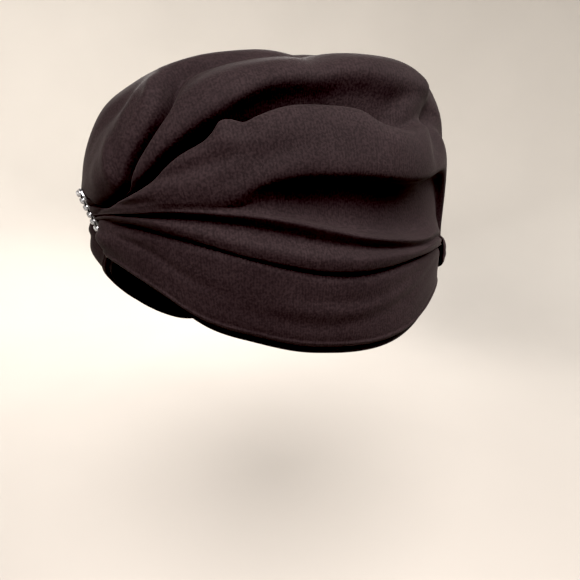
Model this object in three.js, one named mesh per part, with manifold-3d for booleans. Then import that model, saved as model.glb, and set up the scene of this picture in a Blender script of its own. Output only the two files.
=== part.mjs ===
// A gathered turban: a crown of soft folds that run from a jewelled clasp at the
// front to a cloth keeper at the back, over two smooth side drapes and a hem band.
// Millimetres, +Z up, the front faces -Y and the wearer's left is +X.
// The origin is the inner top of the crown, where the wrap sits on the head.
import * as THREE from 'three';
import { mergeVertices } from 'three/addons/utils/BufferGeometryUtils.js';
import Module from 'manifold-3d';

const wasm = await Module();
wasm.setup();

// Outer form of the wrap, measured from the level of the clasp.
const HALF_WIDTH = 97;
const FRONT_REACH = 121;
const BACK_REACH = 117.5;
const CROWN_HEIGHT = 109;
const BACK_RISE = 12;
const BACK_FALL = 28;
const SIDE_DROP = 71;
const FRONT_TUCK = 8;

// Cloth and the lengths that the fold table shares out.
const CROWN_WALL = 2.2;
const DRAPE_WALL = 1.8;
const FOLD_DEPTH = 14;
const FOLD_RISE = 4;
const CLOTH_GAP = 0.4;

// How the side drapes, the hem band and the keeper lie against the crown.
const EDGE_TUCK = 4.2;
const DRAPE_LAP = 4;
const HEM_PROUD = 1.5;
const BROW_SWELL = 5;
const BAND_HEIGHT = 20;
const BAND_SHOWS = 2.5;
const BAND_WALL = 1.4;
const BAND_GAP = 1;
const KEEPER_HALF_LENGTH = 61;
const KEEPER_HEIGHT = 27;
const KEEPER_THICKNESS = 4;
const KEEPER_CLEARANCE = 0.5;

// The gathers: how far the folds are spread at the clasp and at the keeper.
const FRONT_START = 0.045;
const BACK_END = 0.95;
const BACK_GATHER_HALF = 55;
const BACK_GATHER_RISE = 12;

// Jewelled clasp.
const CLASP_LENGTH = 29.5;
const CLASP_LIFT = 1;
const CLASP_WIDTH = 11.5;
const CLASP_PLATE = 1.4;
const CLASP_LEAN = 21;
const CLASP_STAND = 0.3;
const STONE_ROWS = 7;
const MAIN_STONE = 4.1;
const SIDE_STONE = 2.9;
const STONE_GAP = 0.3;
const STONE_SIDES = 8;
const CLAW_RADIUS = 0.42;
const CLAW_RISE = 1.5;
const PIN_RADIUS = 0.6;
const PIN_LENGTH = 24;

// Fold lines on the wearer's left, in degrees from the top of the crown, at stations
// from the clasp (0) to the keeper (1). Depths are shares of FOLD_DEPTH.
const STATIONS = [0, 0.08, 0.15, 0.22, 0.3, 0.4, 0.5, 0.6, 0.72, 0.86, 1];
const FOLD_LINES = [
  {
    name: 'puff_edge',
    degrees: [30, 58, 53, 44.5, 41, 46, 46, 44, 42, 38, 36],
    depth: [0.1, 0.25, 0.45, 0.5, 0.45, 0.35, 0.2, 0.12, 0.1, 0.1, 0.08],
  },
  {
    name: 'long_hollow',
    degrees: [42, 62, 61.5, 60.5, 57, 54.5, 54.5, 55.5, 56, 56, 52],
    depth: [0.1, 0.25, 0.45, 0.6, 0.85, 1, 0.9, 0.4, 0.15, 0.12, 0.08],
  },
  {
    name: 'under_roll',
    degrees: [50, 65, 69, 74, 78, 78.5, 79, 78.5, 76, 72, 64],
    depth: [0.1, 0.25, 0.4, 0.55, 0.7, 0.75, 0.75, 0.7, 0.55, 0.28, 0.08],
  },
  {
    name: 'thin_pleat',
    degrees: [56, 67.5, 74, 80, 84.5, 88, 88.5, 87, 83.5, 78, 70],
    depth: [0.1, 0.2, 0.28, 0.4, 0.42, 0.42, 0.3, 0.18, 0.15, 0.12, 0.08],
  },
];
const CROWN_EDGE = [62, 71.5, 79.5, 87, 91.5, 95.5, 96, 93, 88, 83, 76];

// Lobes between the lines, from the top down. Rise is a share of FOLD_RISE, lean
// above 1 moves the ridge down the side, and parts is how finely it is faceted.
const LOBES = [
  { name: 'small_roll', rise: [0, 0.1, 0.2, 0.3, 0.5, 0.8, 0.9, 0.9, 0.8, 0.3, 0], lean: 0.8, parts: 4 },
  { name: 'broad_roll', rise: [0, 0.1, 0.3, 0.6, 0.9, 1, 1, 0.9, 0.6, 0.2, 0], lean: 1.1, parts: 7 },
  { name: 'second_roll', rise: [0, 0, 0, 0.1, 0.1, 0.2, 0.3, 0.4, 0.3, 0.1, 0], lean: 0.9, parts: 4 },
  { name: 'low_roll', rise: [0, 0, 0.1, 0.3, 0.4, 0.5, 0.5, 0.4, 0.2, 0, 0], lean: 1.2, parts: 5 },
];
const PUFF_RISE = [0, 0.1, 0, -0.7, -1, -0.5, 0, 0.1, 0.4, 0.2, 0];
const PUFF_PARTS = 12;
const BACK_PLEATS = 3;
const PLEAT_DEPTH = 3.5;
const RIGHT_SHIFT = -2.5;

// Hem of the drapes around the head, as shares of SIDE_DROP below the clasp.
const HEM_DEGREES = [0, 15, 30, 45, 60, 75, 90, 105, 120, 135, 150, 180];
const HEM_LEFT = [0.27, 0.28, 0.42, 0.72, 0.85, 0.96, 1, 0.97, 0.86, 0.7, 0.62, 0.6];
const HEM_RIGHT = [0.27, 0.52, 0.8, 1.04, 1.14, 1.15, 1.12, 1.04, 0.9, 0.7, 0.62, 0.6];

const ALONG_PARTS = 36;
const DRAPE_PARTS = 30;
const DRAPE_ROWS = 4;
const BAND_PARTS = 60;
const KEEPER_PARTS = 24;

const CLOTH = { color: 0x2c2527, roughness: 0.9, metalness: 0 };
const BAND_CLOTH = { color: 0x17131a, roughness: 0.95, metalness: 0 };
const SILVER = { color: 0xc9c9cc, roughness: 0.22, metalness: 1 };
const CRYSTAL = { color: 0xeef3f7, roughness: 0.05, metalness: 0 };

const radians = THREE.MathUtils.degToRad;
const lerp = THREE.MathUtils.lerp;

function ease(t) {
  const c = THREE.MathUtils.clamp(t, 0, 1);
  return c * c * (3 - 2 * c);
}

// Smooth curve through values given at rising stations.
function through(stations, values, at) {
  const last = stations.length - 1;
  let i = 0;
  while (i < last - 1 && at > stations[i + 1]) i += 1;
  const slope = (k) => {
    const a = Math.max(k - 1, 0);
    const b = Math.min(k + 1, last);
    return (values[b] - values[a]) / (stations[b] - stations[a]);
  };
  const span = stations[i + 1] - stations[i];
  const t = THREE.MathUtils.clamp((at - stations[i]) / span, 0, 1);
  const t2 = t * t;
  const t3 = t2 * t;
  return (2 * t3 - 3 * t2 + 1) * values[i] + (t3 - 2 * t2 + t) * span * slope(i)
    + (3 * t2 - 2 * t3) * values[i + 1] + (t3 - t2) * span * slope(i + 1);
}

// The crown is round at the front and squarer at the back.
function squareness(backward) {
  return 2.25 + 3.25 * ease((backward + 0.15) / 0.95);
}

function narrowing(backward) {
  return 0.06 * ease((backward + 0.6) / 1.4);
}

function gatherLevel(y) {
  return -BACK_FALL * THREE.MathUtils.clamp((y + FRONT_REACH) / (FRONT_REACH + BACK_REACH), 0, 1);
}

// Height of the form over the gather level, which grows towards the back.
function tall(y) {
  return CROWN_HEIGHT + BACK_RISE * ease(y / 95);
}

function reach(backward) {
  return backward < 0 ? FRONT_REACH : BACK_REACH;
}

// The front draws back towards the forehead below the top of the clasp.
function tucked(y, z) {
  if (y >= 0) return y;
  return y * (1 - (FRONT_TUCK / FRONT_REACH) * ease((15 - z) / 32));
}

// Radius share of the form at a height share, for a heading that faces backward by
// a share of -1 to 1.
function radiusShare(height, backward) {
  const m = squareness(backward);
  const h = Math.min(Math.abs(height), 0.9999);
  return Math.pow(1 - Math.pow(h, m), 1 / m) * (1 - narrowing(backward) * h);
}

// Outward direction of the form at a point of it.
function outward(x, y, height) {
  const length = reach(y);
  const q = Math.max(Math.hypot(x / HALF_WIDTH, y / length), 1e-6);
  const m = squareness(y / length / q);
  const side = m * Math.pow(q, m - 2);
  const up = m * Math.pow(Math.abs(height), m - 1) * Math.sign(height) / tall(y);
  return new THREE.Vector3(side * x / HALF_WIDTH ** 2, side * y / length ** 2, up).normalize();
}

function seated(x, y, height, lift) {
  const n = outward(x, y, height);
  const z = height * tall(y) + gatherLevel(y);
  return new THREE.Vector3(x, tucked(y, z), z).addScaledVector(n, lift);
}

// A point of the crown: along runs from clasp to keeper, degrees from the top down
// the wearer's left, and lift is measured out of the form.
function crownPoint(along, degrees, lift) {
  const turn = Math.PI * lerp(FRONT_START, BACK_END, along);
  const fan = Math.exp(-along / 0.1);
  const lean = radians(degrees * (1 + 0.65 * fan));
  const dx = Math.sin(turn) * Math.sin(lean) * (1 - 0.55 * fan);
  const dy = -Math.cos(turn);
  const dz = Math.sin(turn) * Math.cos(lean);
  const q = Math.max(Math.hypot(dx, dy), 1e-6);
  const m = squareness(dy / q);
  const scale = Math.pow(Math.pow(q, m) + Math.pow(Math.abs(dz), m), -1 / m);
  let height = scale * dz;
  const share = scale * q * (1 - narrowing(dy / q) * Math.abs(height));
  let x = HALF_WIDTH * share * dx / q;
  let y = reach(dy) * share * dy / q;
  const gather = ease((along - 0.7) / 0.3);
  if (gather > 0) {
    x = lerp(x, BACK_GATHER_HALF * Math.sin(radians(degrees * 1.55)), gather);
    height = lerp(height, BACK_GATHER_RISE * Math.cos(radians(degrees * 1.6)) / CROWN_HEIGHT, gather);
    const r = radiusShare(height, dy / q);
    y = BACK_REACH * Math.sqrt(Math.max(r * r - (x / HALF_WIDTH) ** 2, 1e-6));
  }
  return seated(x, y, height, lift);
}

// A point of the form at a heading round the head: 0 is the front, 90 the wearer's left.
function sidePoint(heading, z, lift) {
  const sx = Math.sin(radians(heading));
  const sy = -Math.cos(radians(heading));
  const height = (z - gatherLevel(reach(sy) * sy)) / tall(reach(sy) * sy);
  const share = radiusShare(height, sy);
  const x = HALF_WIDTH * share * sx;
  const y = reach(sy) * share * sy;
  const n = outward(x, y, height);
  return new THREE.Vector3(x + n.x * lift, tucked(y, z) + n.y * lift, z);
}

// The crown's lower edge is drawn in over the drapes, less and less towards the keeper.
function tuckShare(heading) {
  return 1 - ease((Math.abs(heading) - 112) / 26);
}

function headingOf(p) {
  return Math.atan2(p.x / HALF_WIDTH, -p.y / reach(p.y)) * THREE.MathUtils.RAD2DEG;
}

function crownEdge(along) {
  const degrees = through(STATIONS, CROWN_EDGE, along);
  return { degrees, lift: -EDGE_TUCK * tuckShare(headingOf(crownPoint(along, degrees, 0))) };
}

// The crown's section at one station: degrees and lift from the right edge over the
// top to the left edge.
function crownSection(along) {
  const lines = FOLD_LINES.map((row) => ({
    degrees: through(STATIONS, row.degrees, along),
    lift: -FOLD_DEPTH * through(STATIONS, row.depth, along),
  }));
  lines.push(crownEdge(along));
  const left = [];
  LOBES.forEach((lobe, i) => {
    const from = lines[i];
    const to = lines[i + 1];
    const top = FOLD_RISE * through(STATIONS, lobe.rise, along);
    for (let k = 0; k <= lobe.parts; k += 1) {
      if (k === lobe.parts && i < LOBES.length - 1) continue;
      const s = k / lobe.parts;
      const floor = lerp(from.lift, to.lift, s);
      const swell = Math.pow(Math.max(Math.sin(Math.PI * Math.pow(s, lobe.lean)), 0), 0.7);
      left.push({ degrees: lerp(from.degrees, to.degrees, s), lift: lerp(floor, top, swell) });
    }
  });
  const right = left.map((p) => ({ degrees: -(p.degrees + RIGHT_SHIFT * ease(along * 5) * ease(
    (100 - p.degrees) / 40)), lift: p.lift })).reverse();
  const rightEdge = right[right.length - 1];
  const puff = [];
  for (let k = 1; k < PUFF_PARTS; k += 1) {
    const s = k / PUFF_PARTS;
    const top = FOLD_RISE * through(STATIONS, PUFF_RISE, along);
    const swell = Math.pow(Math.sin(Math.PI * s), 0.6);
    const pleat = ease((along - 0.6) / 0.35) * (1 - Math.cos(2 * Math.PI * BACK_PLEATS * s)) / 2;
    puff.push({
      degrees: lerp(rightEdge.degrees, left[0].degrees, s),
      lift: lerp(lines[0].lift, top, swell) - PLEAT_DEPTH * pleat,
    });
  }
  return [...right, ...puff, ...left];
}

// A closed wall from an outer and an inner grid of points with the same rows.
function wallBody(outer, inner, ring = false) {
  const rows = outer.length;
  const columns = outer[0].length;
  const positions = [];
  for (const grid of [outer, inner]) {
    for (const row of grid) for (const p of row) positions.push(p.x, p.y, p.z);
  }
  const out = (i, j) => (i % rows) * columns + j;
  const inn = (i, j) => rows * columns + out(i, j);
  const faces = [];
  const quad = (a, b, c, d) => faces.push(a, b, c, a, c, d);
  const lastRow = ring ? rows : rows - 1;
  for (let i = 0; i < lastRow; i += 1) {
    for (let j = 0; j < columns - 1; j += 1) {
      quad(out(i, j), out(i + 1, j), out(i + 1, j + 1), out(i, j + 1));
      quad(inn(i, j), inn(i, j + 1), inn(i + 1, j + 1), inn(i + 1, j));
    }
    quad(inn(i, 0), inn(i + 1, 0), out(i + 1, 0), out(i, 0));
    const j = columns - 1;
    quad(out(i, j), out(i + 1, j), inn(i + 1, j), inn(i, j));
  }
  if (!ring) {
    const i = rows - 1;
    for (let j = 0; j < columns - 1; j += 1) {
      quad(out(0, j), out(0, j + 1), inn(0, j + 1), inn(0, j));
      quad(inn(i, j), inn(i, j + 1), out(i, j + 1), out(i, j));
    }
  }
  return facedOut(positions, faces);
}

// Turns every face over if the body's volume comes out negative.
function facedOut(positions, faces) {
  const v = (k) => new THREE.Vector3().fromArray(positions, faces[k] * 3);
  let volume = 0;
  for (let k = 0; k < faces.length; k += 3) volume += v(k).dot(v(k + 1).cross(v(k + 2)));
  if (volume < 0) {
    for (let k = 0; k < faces.length; k += 3) {
      [faces[k + 1], faces[k + 2]] = [faces[k + 2], faces[k + 1]];
    }
  }
  const geometry = new THREE.BufferGeometry();
  geometry.setAttribute('position', new THREE.Float32BufferAttribute(positions, 3));
  geometry.setIndex(faces);
  return geometry;
}

function crownGeometry() {
  const outer = [];
  const inner = [];
  for (let i = 0; i <= ALONG_PARTS; i += 1) {
    const along = i / ALONG_PARTS;
    const section = crownSection(along);
    outer.push(section.map((p) => crownPoint(along, p.degrees, p.lift)));
    inner.push(section.map((p) => crownPoint(along, p.degrees, p.lift - CROWN_WALL)));
  }
  return wallBody(outer, inner);
}

// Headings and heights along the crown's lower edge, the same on both sides.
function edgeHeights() {
  const points = [];
  for (let i = 0; i <= ALONG_PARTS * 2; i += 1) {
    const along = i / (ALONG_PARTS * 2);
    const edge = crownEdge(along);
    const p = crownPoint(along, edge.degrees, edge.lift);
    const heading = headingOf(p);
    if (points.length === 0 || heading > points[points.length - 1].heading) {
      points.push({ heading, z: p.z });
    }
  }
  return points;
}

function edgeHeightAt(list, heading) {
  if (heading <= list[0].heading) return list[0].z;
  for (let i = 1; i < list.length; i += 1) {
    if (heading <= list[i].heading) {
      const t = (heading - list[i - 1].heading) / (list[i].heading - list[i - 1].heading);
      return lerp(list[i - 1].z, list[i].z, t);
    }
  }
  return list[list.length - 1].z;
}

function hemHeight(heading) {
  const table = heading >= 0 ? HEM_LEFT : HEM_RIGHT;
  return -SIDE_DROP * through(HEM_DEGREES, table, Math.abs(heading));
}

// How far the drape lies out of the form: tucked under the crown's edge, almost as
// wide as the form at its hem, and swelling over the brow on each side of the clasp.
function drapeLift(heading, down) {
  const tuck = -(EDGE_TUCK * tuckShare(heading) + CROWN_WALL + CLOTH_GAP);
  const brow = BROW_SWELL * ease(down / 0.8)
    * (Math.exp(-((heading / 32) ** 2)) - Math.exp(-((heading / 9) ** 2)));
  return lerp(tuck, -HEM_PROUD, ease((down - 0.15) / 0.6)) + brow;
}

function drapeGeometry(side) {
  const edge = edgeHeights();
  const outer = [];
  const inner = [];
  const start = 0.15;
  const end = 179.85;
  for (let i = 0; i <= DRAPE_PARTS; i += 1) {
    const heading = lerp(start, end, i / DRAPE_PARTS);
    const top = edgeHeightAt(edge, heading) + DRAPE_LAP;
    const hem = hemHeight(side * heading);
    const outRow = [];
    const inRow = [];
    for (let j = 0; j <= DRAPE_ROWS; j += 1) {
      const down = j / DRAPE_ROWS;
      const z = lerp(top, hem, down);
      outRow.push(sidePoint(side * heading, z, drapeLift(heading, down)));
      inRow.push(sidePoint(side * heading, z, drapeLift(heading, down) - DRAPE_WALL));
    }
    outer.push(outRow);
    inner.push(inRow);
  }
  return wallBody(outer, inner);
}

function bandGeometry() {
  const edge = edgeHeights();
  const outer = [];
  const inner = [];
  for (let i = 0; i < BAND_PARTS; i += 1) {
    const heading = -180 + 360 * i / BAND_PARTS;
    const hem = hemHeight(heading);
    const top = edgeHeightAt(edge, Math.abs(heading)) + DRAPE_LAP;
    const low = hem - BAND_SHOWS;
    const high = Math.min(low + BAND_HEIGHT, lerp(hem, top, 0.55));
    const outRow = [];
    const inRow = [];
    for (const z of [high, low]) {
      const down = THREE.MathUtils.clamp((top - z) / (top - hem), 0, 1);
      const lift = drapeLift(heading, down) - DRAPE_WALL - BAND_GAP;
      outRow.push(sidePoint(heading, z, lift));
      inRow.push(sidePoint(heading, z, lift - BAND_WALL));
    }
    outer.push(outRow);
    inner.push(inRow);
  }
  return wallBody(outer, inner, true);
}

// The keeper is a padded strip that lies round the back over both gathers.
function keeperGeometry() {
  const inside = FOLD_RISE * 0.1 + KEEPER_CLEARANCE;
  const section = [];
  for (let k = 0; k <= 8; k += 1) {
    const t = Math.PI * k / 8;
    section.push({
      up: Math.cos(t),
      out: Math.pow(Math.sin(t), 0.6),
    });
  }
  const outer = [];
  const inner = [];
  for (let i = 0; i <= KEEPER_PARTS; i += 1) {
    const x = lerp(-KEEPER_HALF_LENGTH, KEEPER_HALF_LENGTH, i / KEEPER_PARTS);
    const heading = 180 - Math.asin(x / HALF_WIDTH) * THREE.MathUtils.RAD2DEG;
    const middle = gatherLevel(-reach(1) * Math.cos(radians(heading)));
    const full = Math.pow(Math.max(1 - (Math.abs(x) / KEEPER_HALF_LENGTH) ** 6, 0.12), 0.5);
    outer.push(section.map((p) => sidePoint(heading, middle + p.up * KEEPER_HEIGHT / 2,
      inside + 0.6 + KEEPER_THICKNESS * full * p.out)));
    inner.push(section.map((p) => sidePoint(heading, middle + p.up * (KEEPER_HEIGHT / 2 - 0.5), inside)));
  }
  return wallBody(outer, inner);
}

// The clasp leans with the cloth and rests on the gather's foremost points. Its frame
// has its origin on the back face, local +Z away from the cloth and +Y up its length.
function claspFrame() {
  const lean = radians(CLASP_LEAN);
  const facing = new THREE.Vector3(0, -Math.cos(lean), -Math.sin(lean));
  const upward = new THREE.Vector3(0, -Math.sin(lean), Math.cos(lean));
  let front = 0;
  for (const along of [0, 1 / ALONG_PARTS, 2 / ALONG_PARTS]) {
    for (const spot of crownSection(along)) {
      const p = crownPoint(along, spot.degrees, spot.lift);
      const behind = Math.abs(p.x) < CLASP_WIDTH / 2 && Math.abs(p.z) < CLASP_LENGTH / 2;
      if (behind) front = Math.max(front, p.dot(facing));
    }
  }
  const group = new THREE.Group();
  group.position.copy(facing).multiplyScalar(front + CLASP_STAND);
  group.position.addScaledVector(upward, (front + CLASP_STAND) * Math.tan(lean) + CLASP_LIFT);
  group.rotation.x = Math.PI / 2 + lean;
  return group;
}

function solid(geometry) {
  geometry.deleteAttribute('normal');
  geometry.deleteAttribute('uv');
  const merged = mergeVertices(geometry);
  return new wasm.Manifold(new wasm.Mesh({
    numProp: 3,
    vertProperties: new Float32Array(merged.attributes.position.array),
    triVerts: new Uint32Array(merged.index.array),
  }));
}

function fromSolid(body) {
  const mesh = body.getMesh();
  const geometry = new THREE.BufferGeometry();
  geometry.setAttribute('position', new THREE.BufferAttribute(new Float32Array(mesh.vertProperties), 3));
  geometry.setIndex(new THREE.BufferAttribute(new Uint32Array(mesh.triVerts), 1));
  return geometry;
}

const ROW_PITCH = (CLASP_LENGTH - 1) / STONE_ROWS;
const SIDE_OFFSET = (CLASP_WIDTH - SIDE_STONE) / 2 - 0.3;

function rowHeight(row) {
  return (row - (STONE_ROWS - 1) / 2) * ROW_PITCH;
}

// Rounded plate with a claw between each pair of stones, soldered into one piece.
function settingGeometry() {
  const w = CLASP_WIDTH / 2;
  const l = CLASP_LENGTH / 2;
  const corner = CLASP_WIDTH / 4;
  const outline = new THREE.Shape();
  outline.moveTo(-w + corner, -l);
  outline.lineTo(w - corner, -l);
  outline.quadraticCurveTo(w, -l, w, -l + corner);
  outline.lineTo(w, l - corner);
  outline.quadraticCurveTo(w, l, w - corner, l);
  outline.lineTo(-w + corner, l);
  outline.quadraticCurveTo(-w, l, -w, l - corner);
  outline.lineTo(-w, -l + corner);
  outline.quadraticCurveTo(-w, -l, -w + corner, -l);
  let body = solid(new THREE.ExtrudeGeometry(outline, {
    depth: CLASP_PLATE,
    bevelEnabled: false,
    curveSegments: 3,
  }));
  for (let row = 0; row <= STONE_ROWS; row += 1) {
    for (const side of [-1, 1]) {
      const claw = new THREE.CylinderGeometry(CLAW_RADIUS, CLAW_RADIUS, CLASP_PLATE / 2 + CLAW_RISE, 6);
      claw.rotateX(Math.PI / 2);
      const x = side * (MAIN_STONE / 2 + CLAW_RADIUS * 0.3);
      const y = rowHeight(row - 0.5) * ((CLASP_LENGTH - 2) / CLASP_LENGTH);
      claw.translate(x, y, CLASP_PLATE + (CLAW_RISE - CLASP_PLATE / 2) / 2);
      body = body.add(solid(claw));
    }
  }
  return fromSolid(body);
}

// Round cut stone: flat table, eight crown facets and eight facets behind.
function stoneGeometry(diameter) {
  const r = diameter / 2;
  const geometry = new THREE.LatheGeometry([
    new THREE.Vector2(0, 0),
    new THREE.Vector2(r, r * 0.66),
    new THREE.Vector2(r * 0.56, r * 1.02),
    new THREE.Vector2(0, r * 1.02),
  ], STONE_SIDES);
  geometry.rotateX(Math.PI / 2);
  return geometry;
}

function mesh(name, geometry, look) {
  const piece = new THREE.Mesh(geometry, new THREE.MeshStandardMaterial(look));
  piece.name = name;
  return piece;
}

const turban = new THREE.Group();
turban.add(mesh('crown_drape', crownGeometry(), CLOTH));
turban.add(mesh('side_drape_left', drapeGeometry(1), CLOTH));
turban.add(mesh('side_drape_right', drapeGeometry(-1), CLOTH));
turban.add(mesh('hem_band', bandGeometry(), BAND_CLOTH));
turban.add(mesh('back_keeper', keeperGeometry(), CLOTH));

const clasp = claspFrame();
clasp.add(mesh('clasp_setting', settingGeometry(), SILVER));
for (let row = 0; row < STONE_ROWS; row += 1) {
  for (const column of [-1, 0, 1]) {
    const size = column === 0 ? MAIN_STONE : SIDE_STONE;
    const place = ['right', 'middle', 'left'][column + 1];
    const stone = mesh(`stone_${place}_${row + 1}`, stoneGeometry(size - STONE_GAP), CRYSTAL);
    stone.position.set(column * SIDE_OFFSET, rowHeight(row), CLASP_PLATE + STONE_GAP);
    clasp.add(stone);
  }
}
const pin = mesh('clasp_pin', new THREE.CylinderGeometry(PIN_RADIUS, PIN_RADIUS, PIN_LENGTH, 8), SILVER);
pin.position.set(0, 0, -PIN_RADIUS - STONE_GAP);
clasp.add(pin);
turban.add(clasp);

// The inner top of the crown goes to the origin.
const seatTop = crownPoint(0.5, 0, FOLD_RISE * through(STATIONS, PUFF_RISE, 0.5) - CROWN_WALL);
turban.position.set(0, 0, -seatTop.z);

export default turban;
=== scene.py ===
"""Looks of the turban headwrap: black crepe folds, hem band, keeper and jewelled clasp."""
import math

import bmesh
import bpy
import numpy as np
from mathutils import Matrix, Vector


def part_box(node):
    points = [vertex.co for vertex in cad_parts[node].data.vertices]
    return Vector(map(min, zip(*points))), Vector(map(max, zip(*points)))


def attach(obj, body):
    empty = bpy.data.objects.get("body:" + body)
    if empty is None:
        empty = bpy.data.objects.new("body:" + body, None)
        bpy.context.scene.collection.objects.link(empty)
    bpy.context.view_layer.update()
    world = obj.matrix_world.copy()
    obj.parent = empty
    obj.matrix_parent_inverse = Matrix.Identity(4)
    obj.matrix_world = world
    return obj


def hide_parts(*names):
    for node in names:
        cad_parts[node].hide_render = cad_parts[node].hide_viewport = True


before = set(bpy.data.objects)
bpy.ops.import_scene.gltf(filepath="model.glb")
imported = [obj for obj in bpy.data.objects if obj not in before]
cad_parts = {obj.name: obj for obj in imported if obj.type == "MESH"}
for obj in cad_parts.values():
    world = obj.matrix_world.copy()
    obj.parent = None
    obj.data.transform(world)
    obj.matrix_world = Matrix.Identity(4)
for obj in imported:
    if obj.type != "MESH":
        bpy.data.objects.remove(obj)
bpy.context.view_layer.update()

MM = 0.001

# Form of the wrap in millimetres, measured from the level of the clasp. These are the sizes of
# the solids, but for BACK_GATHER_RISE: as loose cloth, the gathers lie lower behind the keeper.
HALF_WIDTH = 97.0
FRONT_REACH = 121.0
BACK_REACH = 117.5
CROWN_HEIGHT = 109.0
BACK_RISE = 12.0
BACK_FALL = 28.0
SIDE_DROP = 71.0
FRONT_TUCK = 8.0
BACK_GATHER_HALF = 55.0
BACK_GATHER_RISE = 5.0
BACK_RISE_LENGTH = 95.0
FRONT_START = 0.045
BACK_END = 0.95
# How boxy the plain form is at the front, how much more at the back, and how it narrows
FRONT_SQUARENESS = 2.25
MORE_AT_BACK = 3.25
NARROWING = 0.06
# Fan of the folds at the clasp: how far along it reaches, leans them and draws them in
FAN_LENGTH = 0.1
FAN_LEAN = 0.65
FAN_PINCH = 0.55
# Gathers at the back: where they begin along the crown, and how fast they turn and drop
GATHER_START = 0.7
GATHER_TURN = 1.55
GATHER_DROP = 1.6

# Cloth, in millimetres. EDGE_TUCK is less than in the solids, so that the cloth steps in less at
# the crown's edge, and KEEPER_DROP lowers the keeper so that it covers the ends of the gathers.
CROWN_WALL = 2.2
DRAPE_WALL = 1.8
FOLD_RISE = 4.0
CLOTH_GAP = 0.4
EDGE_TUCK = 2.4
DRAPE_LAP = 4.0
HEM_PROUD = 1.5
BROW_SWELL = 5.0
BAND_HEIGHT = 20.0
BAND_SHOWS = 2.5
BAND_WALL = 1.4
BAND_GAP = 1.0
KEEPER_HALF_LENGTH = 61.0
KEEPER_HEIGHT = 27.0
KEEPER_THICKNESS = 4.0
KEEPER_CLEARANCE = 0.5
KEEPER_DROP = -1.0
BACK_PLEATS = 3
PLEAT_DEPTH = 3.5
PLEAT_DEGREES = 34.0

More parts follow.
